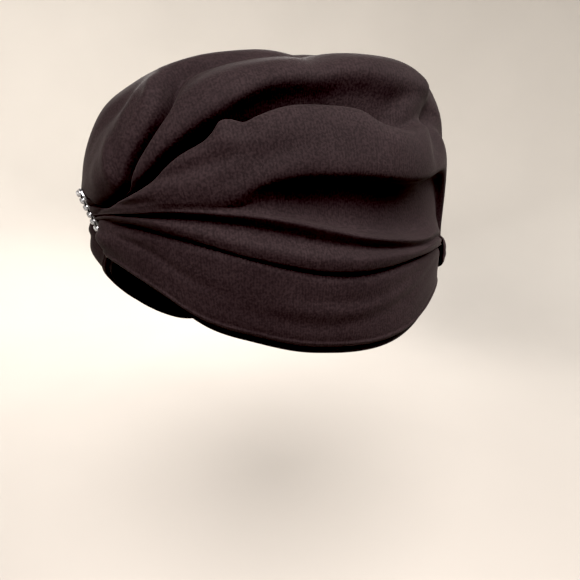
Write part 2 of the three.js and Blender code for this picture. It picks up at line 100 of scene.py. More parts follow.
# The crown's section from its top down one side, as lines that run from clasp to keeper.
# Each line has its fine steps to the next one, how sharply the cloth bends at it (0 round
# to 1 sharp) and points of (share along, degrees from the top, lift in millimetres).
CROWN_LINES = (
    ("top", 10, 0.0, (
        (0, 0, 0), (0.08, 0, 0.4), (0.15, 0, 0), (0.22, 0, -2.8), (0.3, 0, -4), (0.4, 0, -2),
        (0.5, 0, 0), (0.6, 0, 0.4), (0.72, 0, 1.6), (0.86, 0, 0.8), (1, 0, 0))),
    ("puff_side", 8, 0.0, (
        (0, 16, 0), (0.08, 32, 0.2), (0.15, 28, -0.5), (0.2, 20, -2), (0.24, 13, -3.4),
        (0.3, 14, -4), (0.4, 16, -3), (0.5, 11, -0.8), (0.6, 13, 0), (0.72, 18, 1),
        (0.86, 18, 0.5), (1, 18, 0))),
    ("puff_ridge", 6, 0.0, (
        (0, 26, 0), (0.08, 54, 0.4), (0.12, 60.4, 0.6), (0.138, 61.2, 1.4), (0.149, 58, 2.4),
        (0.166, 53.6, 3), (0.188, 49.5, 3.3), (0.212, 45.7, 3.6), (0.229, 42.2, 3.6),
        (0.24, 37, 2.6), (0.25, 29.6, 0.4), (0.275, 24.6, -1.6), (0.33, 24.6, -2.4),
        (0.43, 20.2, -1.4), (0.53, 15, -0.4), (0.65, 21, 0.3), (0.8, 25, 0.3), (1, 27, 0))),
    ("puff_fold", 4, 0.0, (
        (0, 28.5, -0.5), (0.054, 56, -2), (0.09, 61, -3), (0.13, 63.6, -2), (0.15, 62, -0.4),
        (0.162, 58.6, 0.4), (0.177, 55.2, 0.4), (0.199, 51.2, 0.4), (0.222, 47.2, 0.4),
        (0.236, 43.4, 0), (0.244, 39, -0.4), (0.254, 32, -1.4), (0.28, 27.2, -3),
        (0.33, 27.2, -3.8), (0.385, 26.4, -2.8), (0.436, 23.6, -2.2), (0.483, 19, -1.4),
        (0.55, 18, -1), (0.65, 25.5, -0.8), (0.8, 28.5, -0.4), (1, 29.5, -0.6))),
    ("crease", 5, 0.2, (
        (0, 31, -1), (0.054, 57.5, -4), (0.09, 61.8, -6), (0.13, 64.8, -6.8), (0.15, 63.4, -7.2),
        (0.162, 59.6, -7.6), (0.177, 56.2, -7.6), (0.199, 52.2, -7.8), (0.222, 48.4, -8.2),
        (0.236, 44.8, -8.8), (0.246, 40.6, -9.4), (0.258, 34.6, -9), (0.285, 29.6, -7),
        (0.33, 29.4, -5.6), (0.385, 28.6, -4), (0.436, 25.8, -3.2), (0.483, 21, -2.2),
        (0.55, 20.5, -1.8), (0.65, 27.5, -1.4), (0.8, 30, -0.8), (1, 31, -1))),
    ("roll_flank", 6, 0.0, (
        (0, 33, -0.8), (0.08, 61.4, -5), (0.13, 65.4, -6.4), (0.15, 64.4, -5),
        (0.164, 61.2, -3.4), (0.179, 57.9, -2.8), (0.204, 53.9, -2.6), (0.227, 50, -2.6),
        (0.244, 46.6, -3), (0.257, 42.2, -3.8), (0.272, 37.4, -4.4), (0.3, 34.6, -4),
        (0.35, 34.6, -2.2), (0.4, 33.4, -1.6), (0.45, 30, -1.2), (0.5, 26.5, -0.8),
        (0.55, 26.5, -1), (0.6, 29.5, -1.2), (0.66, 32, -1), (0.72, 33.5, -0.4), (0.86, 33, 0),
        (1, 33, -0.7))),
    ("top_roll", 9, 0.0, (
        (0, 35, -0.4), (0.08, 62, -4.6), (0.13, 65.7, -5.6), (0.15, 65.2, -3.6),
        (0.168, 62.6, -1.6), (0.186, 59.8, -0.6), (0.202, 57.2, 0), (0.227, 53.4, 0.6),
        (0.25, 49.4, 0.8), (0.275, 45.8, 0.8), (0.3, 43.6, 0.8), (0.35, 41.8, 1),
        (0.4, 39.3, 0.9), (0.45, 35.5, 0.6), (0.5, 31.6, 0.2), (0.55, 32, -0.4),
        (0.6, 34.5, -0.8), (0.66, 36, -0.6), (0.72, 36.5, 0.4), (0.86, 36, 0.6), (1, 36, 0))),
    ("roll_shoulder", 6, 0.0, (
        (0, 38, -0.4), (0.08, 62.4, -5), (0.13, 66, -6.4), (0.15, 66.2, -5), (0.17, 65, -3.2),
        (0.186, 63.3, -2.4), (0.22, 59.8, -1.6), (0.269, 55.7, -0.8), (0.31, 52.6, -0.4),
        (0.344, 49.6, -0.2), (0.387, 45.8, -0.2), (0.444, 42.2, -0.2), (0.507, 40.2, -0.2),
        (0.55, 42.2, -0.4), (0.59, 44.6, -0.4), (0.65, 43.6, -0.4), (0.72, 42.6, 0.6),
        (0.86, 41, 0.5), (1, 40, -0.3))),
    ("hollow_wall", 6, 0.0, (
        (0, 40, -0.9), (0.08, 62.6, -6), (0.13, 66.4, -8), (0.17, 66, -7), (0.22, 61.2, -6.5),
        (0.269, 57.2, -7), (0.31, 54.2, -8), (0.344, 51, -10), (0.387, 47.4, -11),
        (0.444, 44.4, -12), (0.507, 42.8, -12.5), (0.55, 45.2, -12.5), (0.585, 48.6, -11.5),
        (0.62, 48.2, -8.5), (0.66, 46.6, -5), (0.72, 44.8, -1), (0.86, 43, -0.2),
        (1, 42, -0.7))),
    ("hollow", 7, 0.1, (
        (0, 42, -1.4), (0.08, 62.9, -6.5), (0.13, 66.8, -8.5), (0.17, 67, -9), (0.22, 63.4, -11),
        (0.27, 59.2, -15), (0.31, 55.9, -18), (0.35, 53.4, -20), (0.4, 50.4, -22),
        (0.45, 48.8, -23), (0.5, 48.4, -23), (0.54, 51.2, -21.5), (0.58, 56.2, -18),
        (0.62, 55.2, -12), (0.66, 51, -7), (0.72, 47.6, -2), (0.86, 45, -0.8), (1, 44, -1.1))),
    ("long_ridge", 8, 0.05, (
        (0, 44.5, -0.6), (0.08, 63.4, -2.6), (0.13, 67.4, -2), (0.17, 68.4, -1), (0.207, 66.8, 0),
        (0.246, 64, 1.2), (0.285, 62.2, 2.2), (0.3, 60.2, 2.8), (0.311, 57.7, 3.2),
        (0.325, 57.8, 3), (0.342, 59.3, 2.4), (0.36, 58.2, 2.6), (0.4, 56, 3), (0.44, 55, 3.2),
        (0.48, 54.6, 3.2), (0.515, 56, 2.8), (0.54, 59, 2.2), (0.58, 60.4, 1.2),
        (0.62, 58.2, 0.8), (0.66, 55, 0.8), (0.72, 51, 1), (0.86, 47, 0.6), (1, 46, -0.6))),
    ("long_face", 9, 0.0, (
        (0, 47, -0.3), (0.08, 64.2, -1.6), (0.13, 68.2, 0.2), (0.17, 70.2, 1.4), (0.22, 70, 2.6),
        (0.3, 68.4, 3.8), (0.36, 66.8, 4.1), (0.43, 65, 4.4), (0.5, 64.6, 4.5), (0.6, 65, 3.9),
        (0.68, 60.6, 3.4), (0.76, 53.6, 2.6), (0.86, 50.4, 1.4), (1, 48.4, -0.3))),
    ("long_edge", 5, 0.0, (
        (0, 49.5, -0.3), (0.08, 65.2, -1.4), (0.15, 71.5, 0.6), (0.22, 75.2, 1.6),
        (0.28, 77.6, 1.2), (0.315, 77.6, 1), (0.33, 76.2, 1.4), (0.356, 74.6, 1.8),
        (0.389, 73.2, 2.1), (0.424, 72.3, 2.3), (0.477, 71.6, 2.4), (0.531, 71.2, 2.4),
        (0.589, 70.6, 2.3), (0.65, 68, 2.1), (0.7, 63.6, 1.9), (0.76, 57.6, 1.6),
        (0.86, 54.2, 0.4), (1, 51, -0.6))),
    ("undercut", 6, 0.0, (
        (0, 50.5, -0.4), (0.08, 65.6, -1.5), (0.15, 72.4, 0.4), (0.22, 76.2, 1.2),
        (0.28, 78.6, 0.4), (0.315, 79.2, -1.2), (0.34, 77.6, -2.4), (0.37, 75.7, -4.2),
        (0.428, 74.2, -5.8), (0.506, 73.2, -6.6), (0.59, 72.4, -6.4), (0.65, 69.8, -6.4),
        (0.7, 65.4, -6.2), (0.76, 60, -4.8), (0.86, 56.2, -2.4), (1, 52.6, -0.9))),
    ("deep_hollow", 6, 0.0, (
        (0, 51.5, -0.4), (0.08, 66, -1.5), (0.15, 73.2, 0.2), (0.22, 77, 0.6), (0.28, 79.4, -0.4),
        (0.315, 80, -2.4), (0.35, 78.9, -5.2), (0.39, 78.4, -9), (0.428, 78.2, -11),
        (0.506, 78, -12.4), (0.59, 77.4, -12.4), (0.65, 75, -11.6), (0.7, 71, -9.4),
        (0.76, 65, -6), (0.86, 59.4, -2.6), (1, 54, -1.1))),
    ("hollow_slope", 6, 0.0, (
        (0, 52.5, -0.4), (0.08, 66.4, -1.4), (0.15, 74, 0.2), (0.22, 77.8, 0.2),
        (0.28, 80.2, -0.6), (0.315, 80.9, -2), (0.36, 81.8, -5.2), (0.428, 83.2, -9),
        (0.506, 85, -9.8), (0.59, 85.2, -9.6), (0.65, 84, -9.4), (0.7, 82, -7.8),
        (0.76, 76.6, -4.6), (0.86, 65.4, -1.2), (1, 55.4, -1.1))),
    ("thin_ridge", 6, 0.15, (
        (0, 53.5, -0.4), (0.08, 66.9, -1.2), (0.15, 74.8, 0), (0.22, 78.6, 0.2),
        (0.28, 80.9, 0.2), (0.33, 82.2, 0.2), (0.382, 83.8, 0.2), (0.436, 85.4, 0.2),
        (0.5, 86.8, 0.2), (0.58, 86.9, 0), (0.66, 85.8, -0.6), (0.726, 83, -1.2),
        (0.86, 73.5, -1.2), (1, 57, -0.8))),
    ("thin_valley", 6, 0.2, (
        (0, 55, -1.2), (0.06, 63.6, -2.2), (0.12, 72, -2.8), (0.187, 78.4, -3.4),
        (0.255, 82.2, -4.2), (0.305, 84.6, -4.6), (0.362, 86.8, -4.6), (0.419, 88.5, -4.4),
        (0.485, 89.5, -4), (0.56, 89.6, -3.6), (0.62, 88.9, -3.2), (0.68, 87.4, -3),
        (0.74, 84.2, -2.6), (0.86, 75.5, -2), (1, 59, -1.2))),
    ("low_ridge", 6, 0.0, (
        (0, 57, -0.6), (0.08, 68.2, -1), (0.139, 75.5, -0.6), (0.202, 82.1, 0),
        (0.255, 86.8, 0.6), (0.305, 89.8, 1), (0.357, 91.9, 1.4), (0.413, 93.1, 1.6),
        (0.474, 93.1, 1.6), (0.52, 92.4, 1.4), (0.574, 91.2, 1), (0.648, 89, 0.4),
        (0.72, 85.6, 0), (0.86, 78.4, -0.4), (1, 63, -0.6))),
    ("low_edge", 4, 0.2, (
        (0, 60, -1.6), (0.08, 70.8, -2), (0.149, 79.6, -1.8), (0.211, 86, -1.4), (0.28, 91.4, -1),
        (0.336, 94.2, -0.6), (0.416, 96.2, -0.4), (0.457, 96.4, -0.4), (0.51, 95.8, -0.5),
        (0.56, 94.4, -0.8), (0.62, 92.1, -1), (0.701, 89.4, -1), (0.8, 85.4, -0.8),
        (0.86, 82, -0.8), (1, 72, -0.8))),
)
# The crown's own edge, which is tucked behind the side drapes
STATIONS = (0, 0.08, 0.15, 0.22, 0.3, 0.4, 0.5, 0.6, 0.72, 0.86, 1)
CROWN_EDGE = (62, 71.5, 79.5, 87, 91.5, 95.5, 96, 93, 88, 83, 76)

# The right side repeats the left one's lines, moved by up to RIGHT_SHIFT degrees. Its creases
# are a little weaker and lie RIGHT_CREASE_SHIFT degrees off.
RIGHT_SHIFT = -2.5
RIGHT_CREASES = 0.8
RIGHT_CREASE_SHIFT = 1.5

# Rows of the crown's mesh from clasp to keeper, and where they crowd: amount, place and spread
ALONG_STEPS = 184
ROW_CROWDS = ((1.1, 0.24, 0.14), (0.5, 0.56, 0.1))
MM_PER_DEGREE = 1.7

# How deep the hem hangs, as a share of SIDE_DROP, by degrees round the head from the front
HEM_DEGREES = (0, 15, 30, 45, 60, 75, 90, 105, 120, 135, 150, 180)
HEM_LEFT = (0.27, 0.31, 0.48, 0.74, 0.86, 0.96, 1, 0.97, 0.86, 0.7, 0.62, 0.6)
HEM_RIGHT = (0.27, 0.56, 0.87, 1.06, 1.14, 1.15, 1.12, 1.04, 0.9, 0.7, 0.62, 0.6)

# Camera, in millimetres from the middle of the wrap at the level of the clasp
CAMERA_AZIMUTH = 62.0
CAMERA_DISTANCE = 310.0
CAMERA_ASIDE = 8.0
CAMERA_UP = 12.0
CAMERA_PITCH = 12.0
FOCAL_PIXELS = 450.0
FRAME_PIXELS = 580.0
SENSOR = 36.0
FLOOR_BELOW_CAMERA = 440.0

# Side drapes, in millimetres: rolled edge of the hem and how far up it lies, how far the hem is
# drawn up over the band at the sides, and how soon the cloth comes out from under the crown's
# edge. The solids' hem isn't drawn up.
HEM_BEAD = 0.9
HEM_BEAD_LEVEL = 1.2
HEM_DRAWN_UP = 3.0
DRAPE_RAMP = 9.0

# How far the drapes swell beside the lower end of the clasp, over which width and at which
# heading in degrees
BROW_LEFT = (5.0, 9.0, 9.0)
BROW_RIGHT = (7.5, 15.0, 16.0)

# Cloth colours, and the scales of their textures: bands of the knit's rib, about 1.5 mm apart,
# its pebbled grain, uneven dye and small wrinkles
CREPE_DARK = (0.0089, 0.0056, 0.0062)
CREPE_LIGHT = (0.0134, 0.0087, 0.0095)
BAND_DARK = (0.0050, 0.0040, 0.0046)
BAND_LIGHT = (0.0078, 0.0062, 0.0070)
RIB_SCALE = 210.0
GRAIN_SCALE = 820
DYE_SCALE = 22
WRINKLE_SCALE = 60

# Paper of the studio sweep, under the object and at the far wall. The far wall's lighter colour is
# painted light, making up for the weaker lamp light there.
PAPER_NEAR = (0.26, 0.245, 0.226, 1)
PAPER_FAR = (0.532, 0.513, 0.48, 1)
SWEEP_FLAT = 1.2
SWEEP_BEND = 0.8
SWEEP_HEIGHT = 3.4

# Lights: azimuth and elevation in degrees, distance and size in metres, watts and colour
LIGHTS = (
    ("window", 146, 37, 1.3, 0.6, 14, (1.0, 0.955, 0.92)),
    ("room", 66, 46, 1.3, 0.9, 48, (1.0, 0.945, 0.91)),
    ("far_side", 240, 22, 1.5, 0.8, 14, (1.0, 0.95, 0.92)),
    ("behind", 266, 30, 1.5, 0.8, 10, (1.0, 0.95, 0.92)),
)
LIGHT_AIM = Vector((0, 0, -0.08))
WORLD_STRENGTH = 0.05
BLACK_LEVEL = (0.0068, 0.0066, 0.0063)
WHITE_LEVEL = (0.62, 0.62, 0.62)


def ease(t):
    """Smooth step from 0 to 1."""
    c = np.clip(t, 0.0, 1.0)
    return c * c * (3.0 - 2.0 * c)


def through(stations, values, at):
    """Smooth curve through values given at rising stations."""
    s = np.asarray(stations, float)
    v = np.asarray(values, float)
    at = np.asarray(at, float)
    slope = np.empty_like(v)
    slope[1:-1] = (v[2:] - v[:-2]) / (s[2:] - s[:-2])
    slope[0] = (v[1] - v[0]) / (s[1] - s[0])
    slope[-1] = (v[-1] - v[-2]) / (s[-1] - s[-2])
    i = np.clip(np.searchsorted(s, at, side="right") - 1, 0, len(s) - 2)
    span = s[i + 1] - s[i]
    t = np.clip((at - s[i]) / span, 0.0, 1.0)
    t2 = t * t
    t3 = t2 * t
    return ((2 * t3 - 3 * t2 + 1) * v[i] + (t3 - 2 * t2 + t) * span * slope[i]
            + (3 * t2 - 2 * t3) * v[i + 1] + (t3 - t2) * span * slope[i + 1])


def squareness(backward):
    """How boxy the form is: round at the front, squarer at the back."""
    return FRONT_SQUARENESS + MORE_AT_BACK * ease((backward + 0.15) / 0.95)


def narrowing(backward):
    """How much the form narrows away from its widest level."""
    return NARROWING * ease((backward + 0.6) / 1.4)


def tall(y):
    """Height of the crown over the widest level."""
    return CROWN_HEIGHT + BACK_RISE * ease(y / BACK_RISE_LENGTH)


def gather_level(y):
    """Level of the widest line, which falls from the clasp to the keeper."""
    return -BACK_FALL * np.clip((y + FRONT_REACH) / (FRONT_REACH + BACK_REACH), 0.0, 1.0)


def reach(backward):
    """Half length of the form towards the front or the back."""
    return np.where(backward < 0, FRONT_REACH, BACK_REACH)


def tucked(y, z):
    """The front draws in below the clasp."""
    return np.where(y < 0, y * (1 - (FRONT_TUCK / FRONT_REACH) * ease((15 - z) / 32)), y)


def radius_share(height, backward):
    """Share of the full radius at a height from -1 to 1."""
    m = squareness(backward)
    h = np.minimum(np.abs(height), 0.9999)
    return (1 - h ** m) ** (1 / m) * (1 - narrowing(backward) * h)


def outward(x, y, height):
    """Unit normal of the plain form."""
    length = reach(y)
    q = np.maximum(np.hypot(x / HALF_WIDTH, y / length), 1e-6)
    m = squareness(y / length / q)
    side = m * q ** (m - 2)
    up = m * np.abs(height) ** (m - 1) * np.sign(height) / tall(y)
    n = np.stack([side * x / HALF_WIDTH ** 2, side * y / length ** 2, up], -1)
    return n / np.linalg.norm(n, axis=-1, keepdims=True)


def seated(x, y, height, lift):
    """Points on the plain form, lifted off it along its normal."""
    z = height * tall(y) + gather_level(y)
    p = np.stack([x, tucked(y, z), z], -1)
    return p + outward(x, y, height) * np.asarray(lift)[..., None]


def crown_point(along, degrees, lift):
    """Points of the crown: along from clasp to keeper, degrees from the top down the left."""
    along, degrees, lift = np.broadcast_arrays(along, degrees, lift)
    turn = np.pi * (FRONT_START + (BACK_END - FRONT_START) * along)
    fan = np.exp(-along / FAN_LENGTH)
    lean = np.radians(degrees * (1 + FAN_LEAN * fan))
    dx = np.sin(turn) * np.sin(lean) * (1 - FAN_PINCH * fan)
    dy = -np.cos(turn)
    dz = np.sin(turn) * np.cos(lean)
    q = np.maximum(np.hypot(dx, dy), 1e-6)
    m = squareness(dy / q)
    scale = (q ** m + np.abs(dz) ** m) ** (-1 / m)
    height = scale * dz
    share = scale * q * (1 - narrowing(dy / q) * np.abs(height))
    x = HALF_WIDTH * share * dx / q
    y = reach(dy) * share * dy / q
    gather = ease((along - GATHER_START) / (1 - GATHER_START))
    gather_x = BACK_GATHER_HALF * np.sin(np.radians(degrees * GATHER_TURN))
    gather_h = BACK_GATHER_RISE * np.cos(np.radians(degrees * GATHER_DROP)) / CROWN_HEIGHT
    back = gather > 0
    x = np.where(back, x + (gather_x - x) * gather, x)
    height = np.where(back, height + (gather_h - height) * gather, height)
    r = radius_share(height, dy / q)
    y_back = BACK_REACH * np.sqrt(np.maximum(r * r - (x / HALF_WIDTH) ** 2, 1e-6))
    y = np.where(back, y_back, y)
    return seated(x, y, height, lift)


def side_point(heading, z, lift):
    """Points of the form at a heading round the head: 0 front, 90 the wearer's left."""
    heading, z, lift = np.broadcast_arrays(heading, z, lift)
    sx = np.sin(np.radians(heading))
    sy = -np.cos(np.radians(heading))
    level = gather_level(reach(sy) * sy)
    height = (z - level) / tall(reach(sy) * sy)
    share = radius_share(height, sy)
    x = HALF_WIDTH * share * sx
    y = reach(sy) * share * sy
    n = outward(x, y, height)
    return np.stack([x + n[..., 0] * lift, tucked(y, z) + n[..., 1] * lift, z], -1)


# The frame's origin is the inner top of the crown
CLASP_LEVEL = -float(crown_point(0.5, 0.0, -CROWN_WALL)[2])


def heading_of(p):
    """Degrees round the head of a point: 0 front, 90 the wearer's left."""
    return np.degrees(np.arctan2(p[..., 0] / HALF_WIDTH, -p[..., 1] / reach(p[..., 1])))


def tuck_share(heading):
    """The crown's edge is tucked in except at the back."""
    return 1 - ease((np.abs(heading) - 112) / 26)


def crown_edge(along):
    """Degrees and lift of the crown's own edge."""
    degrees = through(STATIONS, CROWN_EDGE, along)
    heading = heading_of(crown_point(along, degrees, np.zeros_like(degrees)))
    return degrees, -EDGE_TUCK * tuck_share(heading)


def ripple(a, b, seed, scale):
    """Small smooth unevenness with no repeat to the eye."""
    total = 0.0
    for k, (fa, fb) in enumerate(((5.1, 0.11), (8.7, -0.19), (13.3, 0.31), (21.0, 0.23))):
        total = total + np.sin(fa * a * scale + fb * b * scale + seed * (k + 1.7)) / (k + 1.5)
    return total


# Creases and ridges of the crown: points as share along and degrees, height in
# millimetres (negative is a dent), width in degrees
CREASES = (
    ("face_dent",
     ((0.15, 65.4), (0.186, 67), (0.218, 67.9), (0.261, 68.5), (0.306, 67.6), (0.343, 66.4)),
     -2.4, 2.4),
    ("puff_dent", ((0.10, 22), (0.14, 24), (0.18, 27), (0.21, 22)), -1.6, 6.0),
    ("roll_notch", ((0.318, 60), (0.335, 61.5), (0.36, 61)), -1.4, 1.6),
    ("face_valley", ((0.30, 74), (0.33, 71.5), (0.36, 68.5), (0.41, 65.5)), -1.8, 3.0),
    ("end_ridge", ((0.557, 62), (0.584, 57.9), (0.616, 52.6), (0.667, 44.2)), 3.0, 3.6),
    ("fold_valley",
     ((0.238, 24), (0.226, 30), (0.22, 36), (0.203, 40.5), (0.18, 44.5), (0.155, 49)),
     -2.2, 3.2),
    ("end_shade", ((0.705, 41), (0.697, 47), (0.687, 53), (0.665, 58.5)), -7.0, 5.0),
    ("clasp_pleat",
     ((0.03, 58), (0.088, 63.6), (0.12, 67.5), (0.158, 71.8), (0.2, 74.6)),
     -1.2, 1.3),
)
DEGREES_ALONG = 260.0


def stroke_relief(u, v, strokes, u_scale, v_scale):
    """Sum of soft ridges and dents along short listed lines; the scales make u and v alike."""
    total = np.zeros(np.broadcast(u, v).shape)
    for _, points, height, width in strokes:
        best = np.full(total.shape, 1e9)
        share = np.zeros(total.shape)
        count = len(points) - 1
        for k in range(count):
            (u0, v0), (u1, v1) = points[k], points[k + 1]
            du = (u1 - u0) * u_scale
            dv = (v1 - v0) * v_scale
            wu = (u - u0) * u_scale
            wv = (v - v0) * v_scale
            t = np.clip((wu * du + wv * dv) / (du * du + dv * dv), 0, 1)
            dist = np.hypot(wu - t * du, wv - t * dv)
            near = dist < best
            best = np.where(near, dist, best)
            share = np.where(near, (k + t) / count, share)
        fade = np.sin(np.pi * np.clip(share * 0.86 + 0.07, 0, 1)) ** 0.5
        total += height * fade * np.exp(-((best / width) ** 2))
    return total


def crown_side(along):
    """Degrees and lift across one side, from the top down to the crown's edge."""
    points = []
    for _, _, _, places in CROWN_LINES:
        shares, degrees, lifts = zip(*places)
        across = through(shares, degrees, along)
        points.append(np.stack([across, through(shares, lifts, along)], -1))
    points.append(np.stack(crown_edge(along), -1))
    bend = [line[2] for line in CROWN_LINES] + [0.0]
    mirrored = points[1] * np.array([-1.0, 1.0])
    around = [mirrored] + points + [2 * points[-1] - points[-2]]
    chords = []
    for k in range(len(around) - 1):
        step = around[k + 1] - around[k]
        chords.append(np.hypot(step[:, :1] * MM_PER_DEGREE, step[:, 1:]) + 0.4)
    slopes = []
    for k in range(len(points)):
        before, after = chords[k], chords[k + 1]
        rise_before = (around[k + 1] - around[k]) / before
        rise_after = (around[k + 2] - around[k + 1]) / after
        slope = (rise_before * after + rise_after * before) / (before + after)
        slopes.append(slope * (1 - bend[k]))
    columns = []
    for k, (_, steps, _, _) in enumerate(CROWN_LINES):
        last = steps + (1 if k == len(CROWN_LINES) - 1 else 0)
        for i in range(last):
            t = i / steps
            t2 = t * t
            t3 = t2 * t
            leaving = slopes[k] * chords[k + 1]
            arriving = slopes[k + 1] * chords[k + 1]
            columns.append((2 * t3 - 3 * t2 + 1) * points[k] + (t3 - 2 * t2 + t) * leaving
                           + (3 * t2 - 2 * t3) * points[k + 1] + (t3 - t2) * arriving)
    side = np.stack(columns, 1)
    return side[..., 0], side[..., 1]


def row_places():
    """Rows along the crown, closer together where its folds turn most."""
    fine = np.linspace(0, 1, 2001)
    density = np.ones_like(fine)
    for amount, place, spread in ROW_CROWDS:
        density = density + amount * np.exp(-(((fine - place) / spread) ** 2))
    total = np.concatenate([[0], np.cumsum((density[1:] + density[:-1]) / 2)])
    return np.interp(np.linspace(0, total[-1], ALONG_STEPS + 1), total, fine)


def crown_outer():
    """Degrees and lift of the crown's outside, rows along and columns right to left."""
    along = row_places()
    left_degrees, left_lift = crown_side(along)
    right_lift = left_lift[:, :0:-1]
    away_from_rims = ease((100 - left_degrees) / 40) * ease(left_degrees / 30)
    shift = RIGHT_SHIFT * ease(along * 5)[:, None] * away_from_rims
    right_degrees = -(left_degrees + shift)[:, :0:-1]
    degrees = np.concatenate([right_degrees, left_degrees], 1)
    lift = np.concatenate([right_lift, left_lift], 1)
    a = along[:, None]
    half = np.abs(degrees) / PLEAT_DEGREES
    pleat = ease((a - 0.6) / 0.35) * ease((1.05 - half) / 0.2)
    lift = lift - PLEAT_DEPTH * pleat * (1 - np.cos(np.pi * BACK_PLEATS * (1 - half))) / 2
    lift = lift + stroke_relief(a, degrees, CREASES, DEGREES_ALONG, 1)
    mirrored = RIGHT_CREASE_SHIFT - degrees
    lift = lift + RIGHT_CREASES * stroke_relief(a, mirrored, CREASES, DEGREES_ALONG, 1)
    ends = ease(along / 0.12)[:, None] * ease((1 - along) / 0.12)[:, None]
    lift = lift + 0.25 * ripple(a * 3.0, degrees / 6.0, 2.3, 1.0) * ends
    return a, degrees, lift


def lip(outer, inner, before, steps=3):
    """Rounded edge from an outer rim point to an inner one."""
    middle = (outer + inner) / 2
    across = outer - inner
    radius = np.linalg.norm(across, axis=-1, keepdims=True) / 2
    across = across / np.maximum(2 * radius, 1e-9)
    away = outer - before
    away = away - across * np.sum(away * across, -1, keepdims=True)
    away = away / np.maximum(np.linalg.norm(away, axis=-1, keepdims=True), 1e-9)
    arc = []
    for k in range(1, steps + 1):
        t = math.pi * k / (steps + 1)
        arc.append(middle + radius * (math.cos(t) * across + math.sin(t) * away))
    return arc


def loops_from(outer, inner):
    """Closed sections: outer side, rounded edge, inner side back, rounded edge."""
    end = lip(outer[:, -1], inner[:, -1], outer[:, -2])
    start = lip(outer[:, 0], inner[:, 0], outer[:, 1])[::-1]
    parts = [outer, np.stack(end, 1), inner[:, ::-1], np.stack(start, 1)]
    return np.concatenate(parts, 1), outer.shape[1], len(end)


def body_mesh(name, outer, inner, ring=False):
    """One closed cloth wall with rounded edges, in metres."""
    loops, wide, arc = loops_from(outer, inner)
    rows, count = loops.shape[:2]
    vertices = loops.reshape(-1, 3).copy()
    vertices[:, 2] += CLASP_LEVEL
    vertices *= MM
    i = np.arange(rows if ring else rows - 1)[:, None]
    j = np.arange(count)[None, :]
    a = i * count + j
    b = ((i + 1) % rows) * count + j
    c = ((i + 1) % rows) * count + (j + 1) % count
    d = i * count + (j + 1) % count
    faces = np.stack([a, b, c, d], -1).reshape(-1, 4).tolist()
    if not ring:
        for row, flip in ((0, False), (rows - 1, True)):
            base = row * count
            for k in range(wide - 1):
                far = 2 * wide + arc - 1
                quad = [base + k, base + k + 1, base + far - k - 1, base + far - k]
                faces.append(quad[::-1] if flip else quad)
            end_cap = [base + wide - 1 + k for k in range(arc + 2)]
            start_cap = [base + 2 * wide + arc - 1 + k for k in range(arc + 1)] + [base]
            for cap in (end_cap, start_cap):
                faces.append(cap[::-1] if flip else cap)
    mesh = bpy.data.meshes.new(name)
    mesh.from_pydata(vertices.tolist(), [], faces)
    mesh.validate()
    lay_out(mesh, loops)
    if signed_volume(mesh) < 0:
        mesh.flip_normals()
    mesh.shade_smooth()
    piece = bpy.data.objects.new(name, mesh)
    bpy.context.scene.collection.objects.link(piece)
    return piece


def lay_out(mesh, loops):
    """UV map in metres of cloth: u along the folds and v across them."""
    rows, count = loops.shape[:2]
    across = np.linalg.norm(np.diff(loops, axis=1), axis=2).mean(0)
    v = np.concatenate([[0], np.cumsum(across)])
    forward = np.linalg.norm(np.diff(loops, axis=0), axis=2).mean(1)
    u = np.concatenate([[0], np.cumsum(forward)])
    uv = np.empty((rows, count, 2))
    uv[..., 0] = u[:, None]
    uv[..., 1] = v[None, :]
    uv = uv.reshape(-1, 2) * MM
    layer = mesh.uv_layers.new(name="cloth")
    corner = np.empty(len(mesh.loops), dtype=np.int32)
    mesh.loops.foreach_get("vertex_index", corner)
    layer.data.foreach_set("uv", uv[corner].ravel())


def signed_volume(mesh):
    """Six times the volume, negative where the faces look inward."""
    mesh.calc_loop_triangles()
    co = np.empty(len(mesh.vertices) * 3)
    mesh.vertices.foreach_get("co", co)
    co = co.reshape(-1, 3)
    tri = np.empty(len(mesh.loop_triangles) * 3, dtype=np.int64)
    mesh.loop_triangles.foreach_get("vertices", tri)
    p = co[tri.reshape(-1, 3)]
    return float(np.sum(p[:, 0] * np.cross(p[:, 1], p[:, 2])))


def make_crown():
    a, degrees, lift = crown_outer()
    outer = crown_point(a, degrees, lift)
    inner = crown_point(a, degrees, lift - CROWN_WALL)
    return body_mesh("crown_cloth", outer, inner)


def edge_heights():
    """Heading and height of points on the crown's edge."""
    along = np.linspace(0, 1, 400)
    degrees, lift = crown_edge(along)
    p = crown_point(along, degrees, lift)
    heading = heading_of(p)
    keep = np.concatenate([[True], heading[1:] > np.maximum.accumulate(heading)[:-1]])
    return heading[keep], p[keep, 2]


EDGE_HEADING, EDGE_Z = edge_heights()


def edge_height(heading):
    return np.interp(np.abs(heading), EDGE_HEADING, EDGE_Z)


def hem_height(heading):
    left = through(HEM_DEGREES, HEM_LEFT, np.abs(heading))
    right = through(HEM_DEGREES, HEM_RIGHT, np.abs(heading))
    return -SIDE_DROP * np.where(heading >= 0, left, right)


def brow_fullness(heading, down):
    """The drapes swell round the lower end of the clasp, more on the wearer's right."""
    swell, width, middle = (np.where(heading < 0, r, l) for r, l in zip(BROW_RIGHT, BROW_LEFT))
    spread = np.exp(-(((np.abs(heading) - middle) / width) ** 2))
    spread = spread * (1 - np.exp(-((heading / 6) ** 2)))
    return swell * spread * ease((down + 0.02) / 0.2) * (1 - 0.75 * ease((down - 0.55) / 0.45))


